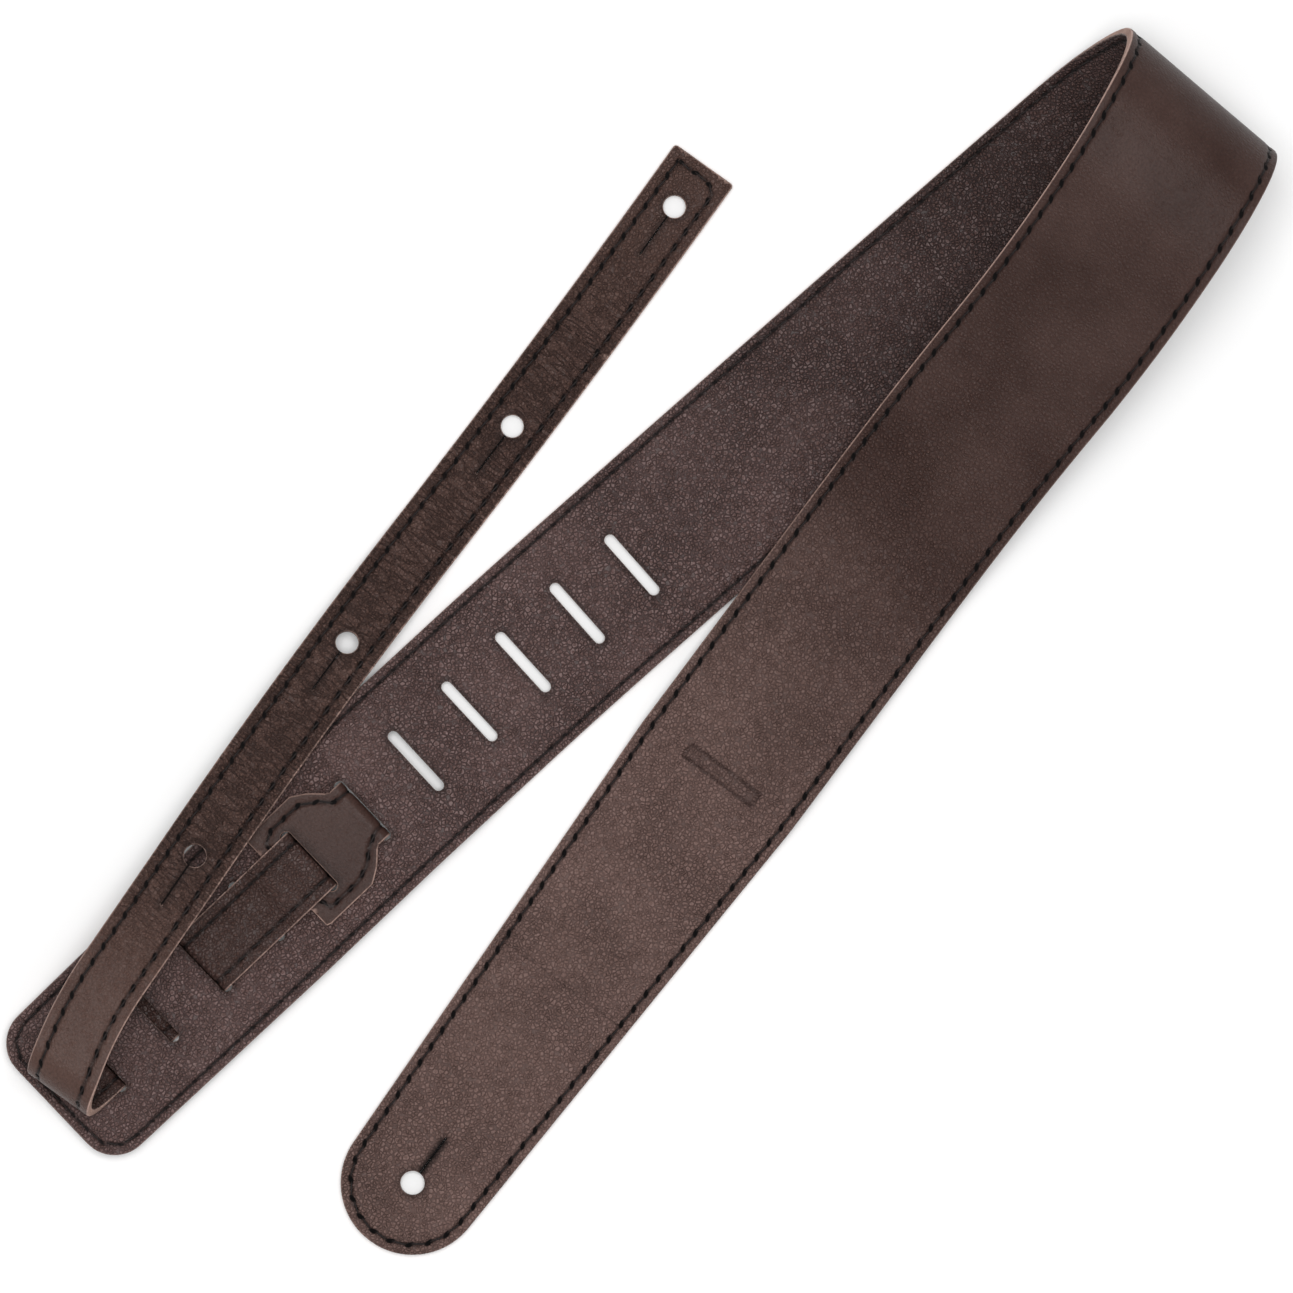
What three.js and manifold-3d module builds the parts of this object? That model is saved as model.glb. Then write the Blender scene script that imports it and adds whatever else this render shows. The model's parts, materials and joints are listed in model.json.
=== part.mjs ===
// Leather guitar strap, in millimetres, +Z up, lying on the plane z = 0.
// A wide two-ply shoulder band is folded over once. A narrow two-ply tail is woven through the
// band's slots, and locks there by passing through the slit in its own wide head.
// Each leather ply and each seam thread is a piece of its own, parted where the strap bends.
import * as THREE from 'three';
import Module from 'manifold-3d';

const wasm = await Module();
wasm.setup();

// ---- Driving dimensions ----

const GAP = 0.3; // between pieces that touch
const BAND = { half: 32, outer: 1.6, lining: 1.4, inset: 3.4 };
const TAIL = { half: 12.5, outer: 1.4, lining: 1.3, inset: 4.2 };
const SEAM = { groove: 1.4, depth: 0.6, over: 0.2, thread: 0.8, thick: 0.3, sink: 0.04 };

const SLOT = { pitch: 25.4, count: 11, length: 27, width: 4, fromEnd: 22 };
const BUTTON_HOLE = { radius: 4.25, slit: 15 };
const TAIL_HOLE = { radius: 3.95, slit: 16.5, at: [18, 113, 208, 299] };
const SLIT_WIDTH = 0.5;
const TAPER = { length: 176, endHalf: 25 }; // from the band's full width to its button hole
const SLOTTED_END = { corner: 13, narrowing: 1.2, yaw: 1.2 };
const HEAD = { half: 21, shoulder: 17.7, neck: 4.3, shoulderAt: 9.6, fullAt: 14.8, length: 36.3 };

const FOLD = { yaw: 7.2, tight: 27, tightBend: 150, easy: 60, easyBend: 25, foot: 80 };
const TAIL_FOLD = { yaw: 11.8, radius: 10, bend: 186.8, foot: 150 };
const HINGE_BEND = { band: 50, tail: 45 }; // bend between a fold's end and its hinge line
const DIVE = 1.8; // radius of the tail's middle surface where it turns into a slot
const EASE = 150; // radius of the band's middle surface where it steps down
const STEP_UP = 7; // radius of the tail's middle surface where it steps over its head's end
const FLEX = { tab: 104, tip: 66 }; // lengths of the two ends that flex onto strap buttons

const COLOURS = { outer: 0x4a3830, lining: 0x42332f, thread: 0x1d1512 };
const DEGREES = Math.PI / 180;

for (const strap of [BAND, TAIL]) strap.thick = strap.outer + GAP + strap.lining;

// ---- Routes ----
// A station is a place on a strap's middle line: its distance s from the strap's first end, the
// direction along the strap, sideways, and up, which points out of the outer ply. A leg says how
// far the strap runs, how far it bends towards its lining, and how far it turns in its own plane.
// A bend's crease lies sideways, or square to a stated yaw: then run is counted square to it.

const turned = (vector, axis, angle) => vector.clone().applyAxisAngle(axis, angle);

function firstStation(point, yaw, upwards) {
  const along = new THREE.Vector3(Math.cos(yaw), Math.sin(yaw), 0);
  const up = new THREE.Vector3(0, 0, upwards);
  return { s: 0, point, along, side: up.clone().cross(along), up, skew: 0 };
}

// The station that lies a share of one step past another.
function advance(from, step, share) {
  const bend = step.bend * share;
  const turn = step.turn * share;
  const axis = step.crease ?? from.side;
  const middleUp = turned(from.up, axis, bend / 2);
  const middle = turned(turned(from.along, axis, bend / 2), middleUp, turn / 2);
  const slide = axis.clone().multiplyScalar(middle.dot(axis));
  const square = middle.clone().sub(slide);
  const run = (step.run * share) / square.length();
  const chord = Math.abs(bend) < 1e-9 ? 1 : Math.sin(bend / 2) / (bend / 2);
  const up = turned(from.up, axis, bend);
  const along = turned(turned(from.along, axis, bend), up, turn);
  const side = turned(turned(from.side, axis, bend), up, turn);
  const skew = step.crease ? axis.dot(along) / axis.dot(side) : 0;
  return {
    s: from.s + run,
    point: from.point.clone().addScaledVector(square, run * chord).addScaledVector(slide, run),
    along,
    side,
    up,
    skew: from.skew + (skew - from.skew) * share,
  };
}

function creaseFor(leg, here) {
  if (leg.yaw === undefined) return undefined;
  const crease = new THREE.Vector3(-Math.sin(leg.yaw * DEGREES), Math.cos(leg.yaw * DEGREES), 0);
  return crease.dot(here.side) < 0 ? crease.negate() : crease;
}

function walk(start, legs) {
  const strap = { route: [start], steps: [], ends: [] };
  for (const { bend = 0, turn = 0, ...leg } of legs) {
    const crease = creaseFor(leg, strap.route.at(-1));
    const run = leg.run ?? leg.radius * Math.abs(bend) * DEGREES;
    const count = leg.steps ?? Math.max(1, Math.ceil(Math.abs(bend) / (leg.facet ?? 10)));
    const part = DEGREES / count;
    for (let i = 0; i < count; i += 1) {
      const step = { run: run / count, bend: bend * part, turn: turn * part, crease };
      strap.steps.push(step);
      strap.route.push(advance(strap.route.at(-1), step, 1));
    }
    strap.ends.push(strap.route.at(-1).s);
  }
  strap.length = strap.ends.at(-1);
  return strap;
}

function stationAt(strap, s) {
  const { route, steps } = strap;
  let i = 0;
  while (i < steps.length - 1 && route[i + 1].s <= s) i += 1;
  return advance(route[i], steps[i], (s - route[i].s) / (route[i + 1].s - route[i].s));
}

// The point at flat place (s, v) on a strap, a height above its middle surface.
function place(strap, s, v, height) {
  const here = stationAt(strap, s);
  const across = here.side.clone().addScaledVector(here.along, here.skew);
  return here.point.clone().addScaledVector(across, v).addScaledVector(here.up, height);
}

function moveRoute(strap, move) {
  for (const here of strap.route) here.point.add(move);
}

// Two opposite bends that move a level strap by a height; bends towards the lining come first.
function ease(height, radius, sign, facet) {
  const bend = (sign * Math.acos(1 - height / (2 * radius))) / DEGREES;
  return [{ radius, bend, facet }, { radius, bend: -bend, facet }];
}

const easeRun = (height, radius) => 2 * radius * Math.sin(Math.acos(1 - height / (2 * radius)));
const arcRise = (radius, from, to) => radius * (Math.cos(from * DEGREES) - Math.cos(to * DEGREES));

// ---- The band's route, from its slotted end over the fold to its button hole ----

const bandLow = BAND.thick / 2;
const bandHigh = TAIL.thick + GAP + bandLow; // over the tail's run below the slots
const bandCrossing = BAND.thick + GAP + bandLow; // over the band's own lower run
const foldBend = 2 * FOLD.easyBend + FOLD.tightBend;
const footBend = foldBend - 180;
const foldHeight = arcRise(FOLD.easy, 0, FOLD.easyBend)
  + arcRise(FOLD.tight, FOLD.easyBend, FOLD.easyBend + FOLD.tightBend)
  + arcRise(FOLD.easy, FOLD.easyBend + FOLD.tightBend, foldBend)
  - arcRise(FOLD.foot, 0, footBend);
const bandSlope = (foldHeight - bandCrossing + bandLow) / Math.sin(footBend * DEGREES);

const bandBack = [
  { run: 149.2 },
  { run: 14, turn: 0.8 },
  ...ease(bandHigh - bandLow, EASE, -1, 4.5),
  { run: 50, turn: 1.3 },
  { run: 100, turn: 0.2 },
  { run: 99, turn: 0.3 },
  { run: 30, turn: 0.1, yaw: FOLD.yaw },
];
const bandFold = [
  { radius: FOLD.easy, bend: FOLD.easyBend, turn: 5.5, yaw: FOLD.yaw, facet: 12.5 },
  { radius: FOLD.tight, bend: FOLD.tightBend, turn: -3.4, yaw: FOLD.yaw },
  { radius: FOLD.easy, bend: FOLD.easyBend, turn: -4, yaw: FOLD.yaw, facet: 12.5 },
];
const bandFront = [
  { run: 0.5 * bandSlope, turn: -5.7, yaw: FOLD.yaw, steps: 3 },
  { run: 0.5 * bandSlope, turn: 2.5, yaw: FOLD.yaw, steps: 2 },
  { radius: FOLD.foot, bend: -footBend, yaw: FOLD.yaw, facet: 5 },
  { run: 66 },
  ...ease(bandCrossing - bandLow, EASE, 1, 4.5),
  { run: 174.4 },
];
const slottedEnd = new THREE.Vector3(-SLOT.fromEnd, -3.3, bandHigh);
const band = walk(
  firstStation(slottedEnd, SLOTTED_END.yaw * DEGREES, -1),
  [...bandBack, ...bandFold, ...bandFront],
);
const holeAt = band.length - TAPER.endHalf;
const foldFrom = band.ends[bandBack.length - 1];
const easyTo = band.ends[bandBack.length];
const tightTo = band.ends[bandBack.length + 1];
const footFrom = band.ends[bandBack.length + bandFold.length + 1];
const hingeStep = ((HINGE_BEND.band - FOLD.easyBend) / FOLD.tightBend) * (tightTo - easyTo);

function bandHalf(s) {
  if (s > holeAt) return Math.sqrt(Math.max(0, TAPER.endHalf ** 2 - (s - holeAt) ** 2));
  const full = BAND.half - SLOTTED_END.narrowing * Math.max(0, 1 - s / (4 * SLOT.pitch));
  const taper = Math.max(0, 1 - (holeAt - s) / TAPER.length);
  const cut = Math.max(0, SLOTTED_END.corner - s);
  const corner = SLOTTED_END.corner - Math.sqrt(SLOTTED_END.corner ** 2 - cut ** 2);
  return full - (BAND.half - TAPER.endHalf) * taper - corner;
}

// ---- The tail's route, from its tip over its fold and through the slots to its head ----

const tailLow = TAIL.thick / 2;
const tailOver = TAIL.thick + BAND.thick + 2 * GAP + tailLow; // on the band
const tailOverHead = tailOver + TAIL.thick + GAP;
const tailSlopeBend = TAIL_FOLD.bend - 180;
const tailDrop = tailOver + 2 * TAIL_FOLD.radius - tailLow
  - arcRise(TAIL_FOLD.radius + TAIL_FOLD.foot, 0, tailSlopeBend);
const tailSlope = tailDrop / Math.sin(tailSlopeBend * DEGREES);

// The tail passes straight through the band, down (-1) or up (1), between two level runs.
const dive = (sign, depth) => [
  { radius: DIVE, bend: 90 * sign, facet: 45 },
  { run: depth - 2 * DIVE },
  { radius: DIVE, bend: -90 * sign, facet: 45 },
];
const levelRun = (slots) => slots * SLOT.pitch - 2 * DIVE;
const overHeadRun = HEAD.length - SLOT.pitch;
const stepUp = easeRun(TAIL.thick + GAP, STEP_UP);

const tailFree = [
  { run: 146, turn: -2.1, steps: 2 },
  { radius: TAIL_FOLD.foot, bend: -tailSlopeBend, yaw: TAIL_FOLD.yaw, facet: 3 },
  { run: 0.6 * tailSlope, turn: 3.4, yaw: TAIL_FOLD.yaw, steps: 2 },
  { run: 0.25 * tailSlope, turn: -0.2, yaw: TAIL_FOLD.yaw },
  { run: 0.15 * tailSlope, turn: 13.6, yaw: TAIL_FOLD.yaw, steps: 4 },
];
const tailBend = [
  { radius: TAIL_FOLD.radius, bend: TAIL_FOLD.bend, turn: -4.4, yaw: TAIL_FOLD.yaw, facet: 12.5 },
];
const tailLock = [
  { run: 2.6 },
  ...dive(-1, tailOver - tailLow),
  { run: levelRun(2) },
  ...dive(1, tailOver - tailLow),
  { run: levelRun(2) - stepUp - overHeadRun },
  ...ease(TAIL.thick + GAP, STEP_UP, 1, 20),
  { run: overHeadRun },
  ...dive(-1, tailOverHead - tailLow),
  { run: levelRun(1) },
  { radius: DIVE, bend: 90, facet: 45 },
  { run: BAND.thick },
  { radius: DIVE, bend: 90, facet: 45 },
  { run: HEAD.length - DIVE },
];
// The free run starts at the yaw that the weave then ends with.
const tailTurn = [...tailFree, ...tailBend].reduce((sum, leg) => sum + (leg.turn ?? 0), 0);
const tipYaw = 180 + 2 * TAIL_FOLD.yaw - tailTurn - SLOTTED_END.yaw;
const tail = walk(
  firstStation(new THREE.Vector3(0, 0, tailLow), tipYaw * DEGREES, 1),
  [...tailFree, ...tailBend, ...tailLock],
);
const bendFrom = tail.ends[tailFree.length - 1];
const bendTo = tail.ends[tailFree.length];
const firstDive = tail.ends[tailFree.length + 2];
const lastSlot = place(band, SLOT.fromEnd, 0, 0);
const diveMiddle = stationAt(tail, firstDive + 0.5 * (tailOver - tailLow) - DIVE);
moveRoute(tail, new THREE.Vector3(lastSlot.x - diveMiddle.point.x, lastSlot.y - diveMiddle.point.y, 0));
const headEnd = tail.length;
const headFrom = headEnd - HEAD.length;
const headSlot = headFrom + SLOT.pitch;
const tailHingeStep = (HINGE_BEND.tail / TAIL_FOLD.bend) * (bendTo - bendFrom);

function mix(low, high, from, to, s) {
  return low + (high - low) * Math.min(1, Math.max(0, (s - from) / (to - from)));
}

function tailHalf(s) {
  const past = s - headFrom;
  const neck = mix(TAIL.half, HEAD.shoulder, HEAD.neck, HEAD.shoulderAt, past);
  return neck + mix(0, HEAD.half - HEAD.shoulder, HEAD.shoulderAt, HEAD.fullAt, past);
}

// ---- Solids ----

// Joins rings of points, each with the same count, into one closed solid.
function solidOfRings(rings) {
  const count = rings[0].length;
  const points = rings.flat();
  const triangles = [];
  for (let r = 0; r + 1 < rings.length; r += 1) {
    for (let k = 0; k < count; k += 1) {
      const a = r * count + k;
      const b = r * count + ((k + 1) % count);
      triangles.push(a, b, b + count, a, b + count, a + count);
    }
  }
  const last = (rings.length - 1) * count;
  for (let k = 1; k + 1 < count; k += 1) {
    triangles.push(0, k + 1, k, last, last + k, last + k + 1);
  }
  const make = () => new wasm.Manifold(new wasm.Mesh({
    numProp: 3,
    vertProperties: new Float32Array(points.flatMap((point) => point.toArray())),
    triVerts: new Uint32Array(triangles),
  }));
  const solid = make();
  if (solid.volume() > 0) return solid;
  triangles.reverse();
  return make();
}

// Every station's distance between two places, with both places and any extra ones.
function distances(strap, from, to, extra = []) {
  const all = [from, to, ...extra, ...strap.route.map((here) => here.s)];
  const inside = all.filter((s) => s >= from && s <= to).sort((a, b) => a - b);
  return inside.filter((s, i) => i === 0 || s - inside[i - 1] > 0.02);
}

function sheet(strap, from, to, extra, half, low, high) {
  return solidOfRings(distances(strap, from, to, extra).map((s) => {
    const edge = Math.max(half(s), 2);
    return [[-edge, low], [edge, low], [edge, high], [-edge, high]].map(([v, t]) => place(strap, s, v, t));
  }));
}

// One ply of a section, with its holes cut. A section may be cut from a place onwards only,
// because the tail passes through the slit in its own head.
function ply({ strap, from, to, extra, half, cuts = [], cutsFrom = from }, low, high) {
  let leather = sheet(strap, cutsFrom, to, extra, half, low, high);
  for (const outline of cuts) leather = leather.subtract(punch(strap, outline, 2 * Math.max(high, -low)));
  if (cutsFrom === from) return leather;
  return leather.add(sheet(strap, from, cutsFrom, extra, half, low, high));
}

// A flat outline of [s, v] points, pushed through the strap.
function punch(strap, outline, reach) {
  return solidOfRings([-reach, reach].map((t) => outline.map(([s, v]) => place(strap, s, v, t))));
}

const circle = (s, v, radius, count) => Array.from({ length: count }, (_, i) => {
  const angle = (2 * Math.PI * (i + 0.5)) / count;
  return [s + radius * Math.cos(angle), v + radius * Math.sin(angle)];
});

function slotOutline(s) {
  const radius = SLOT.width / 2;
  const reach = SLOT.length / 2 - radius;
  return circle(s, 0, radius, 8).map(([x, v]) => [x, v + Math.sign(v) * reach]);
}

const slitOutline = (from, to) => [-1, 1].flatMap((side) => {
  const v = (side * SLIT_WIDTH) / 2;
  return side < 0 ? [[from, v], [to, v]] : [[to, v], [from, v]];
});

// A bar along a flat path of [s, v] points, with square ends, between two heights.
function bar(strap, path, width, low, high) {
  const rings = path.map(([s, v], i) => {
    const before = path[Math.max(0, i - 1)];
    const after = path[Math.min(path.length - 1, i + 1)];
    const unit = (a, b) => new THREE.Vector2(b[0] - a[0], b[1] - a[1]).normalize();
    const into = unit(i === 0 ? path[0] : before, i === 0 ? path[1] : path[i]);
    const out = unit(path[i], i === path.length - 1 ? [s + into.x, v + into.y] : after);
    const mid = into.clone().add(out).normalize();
    const miter = width / 2 / Math.max(0.5, mid.dot(into));
    const left = [s - mid.y * miter, v + mid.x * miter];
    const right = [s + mid.y * miter, v - mid.x * miter];
    return [place(strap, ...right, low), place(strap, ...left, low),
      place(strap, ...left, high), place(strap, ...right, high)];
  });
  return solidOfRings(rings);
}

// ---- Seams ----

const arcPoints = (s, v, radius, from, to, count) => Array.from({ length: count + 1 }, (_, i) => {
  const angle = (from + ((to - from) * i) / count) * DEGREES;
  return [s + radius * Math.cos(angle), v + radius * Math.sin(angle)];
});

// The seam's turn round each end of a strap, from its right side to its left side.
const seamEnds = {
  slotted() {
    const radius = SLOTTED_END.corner - BAND.inset;
    const v = bandHalf(SLOTTED_END.corner) - SLOTTED_END.corner;
    return [...arcPoints(SLOTTED_END.corner, -v, radius, 270, 180, 4),
      ...arcPoints(SLOTTED_END.corner, v, radius, 180, 90, 4)];
  },
  hole: () => arcPoints(holeAt, 0, TAPER.endHalf - BAND.inset, 270, 450, 12),
  tip: () => [-1, 1].map((side) => [TAIL.inset, side * (TAIL.half - TAIL.inset)]),
  head: () => [-1, 1].map((side) => [headEnd - TAIL.inset, side * (HEAD.half - TAIL.inset)]),
};

function seamSide(strap, half, inset, from, to, side) {
  return distances(strap, from, to).map((s) => [s, side * (half(s) - inset)]);
}

// The seam lines of one section: one line round an end, or one line on each side.
function seamPaths(section, margin) {
  const { strap, half, inset, end } = section;
  const from = section.from === 0 ? 0 : section.from - margin;
  const to = section.to + margin;
  if (!end) return [-1, 1].map((side) => seamSide(strap, half, inset, from, to, side));
  const round = seamEnds[end]();
  const clear = 0.4;
  const atStart = section.from === 0;
  const low = atStart ? Math.max(...round.map(([s]) => s)) + clear : from;
  const high = atStart ? to : Math.min(...round.map(([s]) => s)) - clear;
  const right = seamSide(strap, half, inset, low, high, -1);
  const left = seamSide(strap, half, inset, low, high, 1);
  return [atStart ? [...right.reverse(), ...round, ...left] : [...right, ...round, ...left.reverse()]];
}

// ---- Sections: each strap is parted where it folds or flexes ----

const bandCuts = [foldFrom, easyTo + hingeStep, tightTo - hingeStep, footFrom, band.length - FLEX.tab];
const tailCuts = [FLEX.tip, bendFrom + tailHingeStep, bendTo - tailHingeStep];
const between = (from, to) => ({ from: from + GAP / 2, to: to - GAP / 2 });
const bandSection = { strap: band, sizes: BAND, half: bandHalf, inset: BAND.inset };
const tailSection = { strap: tail, sizes: TAIL, half: tailHalf, inset: TAIL.inset };
const SLANT = [0, 15, 30, 45, 60, 75];
const roundPlaces = SLANT.map((angle) => holeAt + TAPER.endHalf * Math.sin(angle * DEGREES));
const cornerPlaces = SLANT.map((angle) => SLOTTED_END.corner * (1 - Math.sin(angle * DEGREES)));
const flarePlaces = [HEAD.neck, HEAD.shoulderAt, HEAD.fullAt].map((past) => headFrom + past);
const roundEnd = band.length - 0.08;

const slitEnd = holeAt - BUTTON_HOLE.radius - BUTTON_HOLE.slit;
const holeCuts = (s, radius, slitTo) => [circle(s, 0, radius, 16), slitOutline(s, slitTo)];
const tailHoleCuts = (holes) => holes.flatMap((s) => (
  holeCuts(s, TAIL_HOLE.radius, s + TAIL_HOLE.radius + TAIL_HOLE.slit)));
const slotCuts = Array.from({ length: SLOT.count }, (_, i) => slotOutline(SLOT.fromEnd + i * SLOT.pitch));

const sections = [
  { ...bandSection, name: 'band_back', from: 0, to: bandCuts[0] - GAP / 2, end: 'slotted',
    extra: [...cornerPlaces, 4 * SLOT.pitch], cuts: slotCuts },
  { ...bandSection, name: 'band_rise', ...between(bandCuts[0], bandCuts[1]) },
  { ...bandSection, name: 'band_fold', ...between(bandCuts[1], bandCuts[2]) },
  { ...bandSection, name: 'band_slope', ...between(bandCuts[2], bandCuts[3]) },
  { ...bandSection, name: 'band_front', ...between(bandCuts[3], bandCuts[4]),
    extra: [holeAt - TAPER.length] },
  { ...bandSection, name: 'band_tab', from: bandCuts[4] + GAP / 2, to: roundEnd, end: 'hole',
    extra: roundPlaces, cuts: holeCuts(holeAt, BUTTON_HOLE.radius, slitEnd) },
  { ...tailSection, name: 'tail_tip', from: 0, to: tailCuts[0] - GAP / 2, end: 'tip',
    cuts: tailHoleCuts(TAIL_HOLE.at.slice(0, 1)) },
  { ...tailSection, name: 'tail_free', ...between(tailCuts[0], tailCuts[1]),
    cuts: tailHoleCuts(TAIL_HOLE.at.slice(1)) },
  { ...tailSection, name: 'tail_bend', ...between(tailCuts[1], tailCuts[2]) },
  { ...tailSection, name: 'tail_lock', from: tailCuts[2] + GAP / 2, to: headEnd, end: 'head',
    extra: flarePlaces, cuts: [slotOutline(headSlot)], cutsFrom: headFrom + 2 * DIVE },
];

const strap = new THREE.Group();

function addMesh(name, solid, kind) {
  const { vertProperties, triVerts } = solid.getMesh();
  const geometry = new THREE.BufferGeometry();
  geometry.setAttribute('position', new THREE.BufferAttribute(new Float32Array(vertProperties), 3));
  geometry.setIndex(new THREE.BufferAttribute(new Uint32Array(triVerts), 1));
  geometry.computeVertexNormals();
  const finish = { color: COLOURS[kind], roughness: kind === 'outer' ? 0.45 : 0.7, metalness: 0 };
  const mesh = new THREE.Mesh(geometry, new THREE.MeshStandardMaterial(finish));
  mesh.name = name;
  strap.add(mesh);
}

function addSection(section) {
  const { sizes, name } = section;
  const top = sizes.thick / 2;
  const sides = [
    { kind: 'outer', thread: 'needle_thread', out: 1, low: top - sizes.outer, high: top },
    { kind: 'lining', thread: 'bobbin_thread', out: -1, low: -top, high: sizes.lining - top },
  ];
  for (const { kind, thread, out, low, high } of sides) {
    let leather = ply(section, low, high);
    for (const path of seamPaths(section, 0.5)) {
      const heights = [out * (top + SEAM.over), out * (top - SEAM.depth)];
      leather = leather.subtract(bar(section.strap, path, SEAM.groove, ...heights));
    }
    addMesh(`${name}_${kind}`, leather, kind);
    seamPaths(section, 0).forEach((path, i, all) => {
      const heights = [out * (top - SEAM.sink), out * (top - SEAM.sink - SEAM.thick)];
      const suffix = all.length === 1 ? '' : ['_right', '_left'][i];
      addMesh(`${name}_${thread}${suffix}`, bar(section.strap, path, SEAM.thread, ...heights), 'thread');
    });
  }
}
sections.forEach(addSection);

// ---- Hinge lines: on the outside of each fold, and on top of each end that flexes ----

function hinge(name, route, s, height, opens) {
  const step = route.steps[route.route.findLastIndex((here) => here.s < s)];
  const crease = (step.crease ?? stationAt(route, s).side).clone();
  return { name, at: place(route, s, 0, height), axis: crease.multiplyScalar(opens) };
}
strap.userData.hinges = [
  hinge('band_fold_back', band, bandCuts[1], BAND.thick / 2, -1),
  hinge('band_fold_front', band, bandCuts[2], BAND.thick / 2, -1),
  hinge('band_tab_flex', band, bandCuts[4], BAND.thick / 2, -1),
  hinge('tail_fold_lock', tail, tailCuts[2], TAIL.thick / 2, 1),
  hinge('tail_fold_free', tail, tailCuts[1], TAIL.thick / 2, 1),
  hinge('tail_tip_flex', tail, tailCuts[0], TAIL.thick / 2, 1),
];

// The origin is under the middle of the whole strap.
const box = new THREE.Box3().setFromObject(strap);
const centre = box.getCenter(new THREE.Vector3());
strap.position.set(-centre.x, -centre.y, 0);

export default strap;
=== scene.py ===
"""A folded leather guitar strap on a pale floor, seen from straight above.

Each leather ply is cut flat, with its holes, slots, rounded edges and sunken seams, and is then laid
along the same route of bends and turns as its CAD solid. Stitches are single loops of thread.
Lengths are millimetres until a mesh is made, and angles are degrees where a leg or a size gives them.
A flat place is (s, v): the distance along the strap from its start, and across it from its middle.
"""

import json
import math

import bpy
import numpy as np
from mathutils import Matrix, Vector
from mathutils.geometry import delaunay_2d_cdt

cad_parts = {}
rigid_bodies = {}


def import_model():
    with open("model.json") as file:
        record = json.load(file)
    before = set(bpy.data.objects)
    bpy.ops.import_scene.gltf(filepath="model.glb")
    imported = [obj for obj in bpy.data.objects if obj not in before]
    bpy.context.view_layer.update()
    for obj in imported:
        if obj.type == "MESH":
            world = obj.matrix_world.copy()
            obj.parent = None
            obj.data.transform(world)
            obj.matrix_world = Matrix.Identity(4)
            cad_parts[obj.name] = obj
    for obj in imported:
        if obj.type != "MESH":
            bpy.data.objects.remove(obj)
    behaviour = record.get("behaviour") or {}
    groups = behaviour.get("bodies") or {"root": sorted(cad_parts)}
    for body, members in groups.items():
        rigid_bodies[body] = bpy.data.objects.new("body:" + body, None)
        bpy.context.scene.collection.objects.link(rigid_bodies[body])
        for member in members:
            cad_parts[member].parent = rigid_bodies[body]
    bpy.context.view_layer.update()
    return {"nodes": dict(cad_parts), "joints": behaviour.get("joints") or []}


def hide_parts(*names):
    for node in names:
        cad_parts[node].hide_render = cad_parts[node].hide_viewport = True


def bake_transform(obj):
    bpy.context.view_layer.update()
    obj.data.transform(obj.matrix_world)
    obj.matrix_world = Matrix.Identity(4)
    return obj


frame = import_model()
MM = 0.001

# ---- Driving dimensions, the same as the CAD's ----

GAP = 0.3
BAND = {"half": 32, "outer": 1.6, "lining": 1.4, "inset": 3.4, "stitch": 6.8}
TAIL = {"half": 12.5, "outer": 1.4, "lining": 1.3, "inset": 4.2, "stitch": 6.5}
SLOT = {"pitch": 25.4, "count": 11, "length": 27, "width": 4, "from_end": 22}
BUTTON_HOLE = {"radius": 4.25, "slit": 15}
TAIL_HOLE = {"radius": 3.95, "slit": 16.5, "at": [18, 113, 208, 299]}
TAPER = {"length": 176, "end_half": 25}
SLOTTED_END = {"corner": 13, "narrowing": 1.2, "yaw": 1.2}
HEAD = {"half": 21, "shoulder": 17.7, "neck": 4.3, "shoulder_at": 9.6, "full_at": 14.8, "length": 36.3}
FOLD = {"yaw": 7.2, "tight": 27, "tight_bend": 150, "easy": 60, "easy_bend": 25, "foot": 80}
TAIL_FOLD = {"yaw": 11.8, "radius": 10, "bend": 186.8, "foot": 150}
HINGE_BEND = {"band": 50, "tail": 45}
DIVE = 1.8
EASE = 150
STEP_UP = 7
FLEX = {"tab": 104, "tip": 66}

# ---- Sizes that only the visible pieces have ----

PLY_GAP = 0.05  # the glue line between the two plies
ROUND_EDGE = 0.5  # radius of the leather's edges
ROUND_CUT = 0.3  # and of the edges of its holes
VALLEY = {"depth": 0.5, "width": 0.8}  # the seam's sunken line
DENT = {"depth": 0.5, "size": 0.8}  # where the thread goes down
THREAD = {"radius": 0.33, "slant": 0.32, "dive": 1.0, "lift": 0.08}
RIPPLE = 0.05  # the surface's soft unevenness
HOLE_SINK = {"depth": 0.05, "reach": 4}  # the leather dips round a punched hole
SLIT_WIDTH = 0.1
PIN_HOLE = 0.3  # radius of the hole at a slit's end
TAIL_CORNER = 1.2
MARK = {"s": 856.5, "v": 1.0, "length": 31, "width": 6.6, "depth": 0.45}
MARKED = ("band", "front", "outer")
FAR = 9.0  # stands for any distance too large to matter

for strap in (BAND, TAIL):
    strap["thick"] = strap["outer"] + GAP + strap["lining"]

# ---- Routes: a strap's middle line as stations, as in the CAD ----


def turned(vector, axis, angle):
    """The vector turned about a unit axis, by radians."""
    c, s = math.cos(angle), math.sin(angle)
    return vector * c + np.cross(axis, vector) * s + axis * (axis @ vector) * (1 - c)


def first_station(point, yaw, upwards):
    """A level start. upwards is 1 where the outer leather faces up, and -1 where the lining does."""
    along = np.array([math.cos(yaw), math.sin(yaw), 0.0])
    up = np.array([0.0, 0.0, float(upwards)])
    side = np.cross(up, along)
    return {"s": 0.0, "point": np.array(point, float), "along": along, "side": side, "up": up, "skew": 0.0}


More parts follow.
